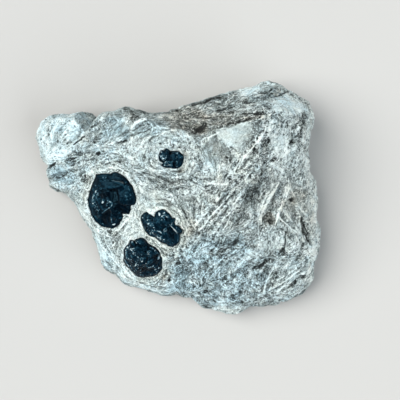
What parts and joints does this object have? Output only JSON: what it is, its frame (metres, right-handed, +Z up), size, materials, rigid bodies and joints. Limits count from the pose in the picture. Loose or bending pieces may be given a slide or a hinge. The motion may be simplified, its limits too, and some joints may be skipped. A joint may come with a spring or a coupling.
{
  "type": "apache tears in perlite",
  "caption": "Rough lump of pale grey perlite with rounded black obsidian nodules set in its sloping face; lies loose on a flat underside.",
  "frame": {"origin": "centre of the bounding box, on the surface the lump rests on", "axes": "+Z up, away from the flat underside; +X along the longest side, from the pale nub on the left to the broad right end; +Y towards the steep far face"},
  "size_m": [0.0995, 0.0814, 0.0438],
  "materials": {
    "perlite": "matte, rough and granular, pale grey with cream and brown patches",
    "obsidian": "glossy black volcanic glass with conchoidal chips"
  },
  "bodies": {
    "root": {"perlite_matrix": "perlite", "apache_tear_large": "obsidian", "apache_tear_middle": "obsidian", "apache_tear_lower": "obsidian", "apache_tear_small": "obsidian"}
  },
  "joints": []
}
